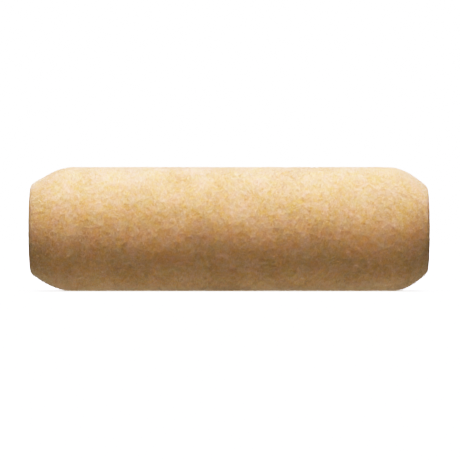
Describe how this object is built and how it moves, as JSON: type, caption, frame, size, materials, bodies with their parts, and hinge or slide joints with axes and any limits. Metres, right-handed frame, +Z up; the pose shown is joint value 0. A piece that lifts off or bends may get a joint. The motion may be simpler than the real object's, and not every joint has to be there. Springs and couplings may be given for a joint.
{
  "type": "paint roller cover",
  "caption": "Paint roller cover: long round sleeve of heathered golden knitted pile with bevelled ends, on a spirally wound fibre core with an open bore for the frame's cage.",
  "frame": {"origin": "on the axis of the bore, midway between the two ends", "axes": "+X along the roller from the end with the long bevel to the end with the short bevel, +Z up, +Y to the back"},
  "size_m": [0.2286, 0.0718, 0.0718],
  "materials": {
    "core_board": "resin-soaked kraft board, satin",
    "adhesive": "set glue, amber, glossy",
    "back_coating": "dried latex, matte",
    "ground_knit": "tightly knitted polyester yarn, matte",
    "pile": "brushed and sheared heathered polyester pile, soft sheen"
  },
  "bodies": {
    "root": {"core_inner_ply": "core_board", "core_middle_ply": "core_board", "core_outer_ply": "core_board", "adhesive_film": "adhesive", "fabric_back_coating": "back_coating", "knitted_ground": "ground_knit", "nap": "pile"}
  },
  "joints": []
}
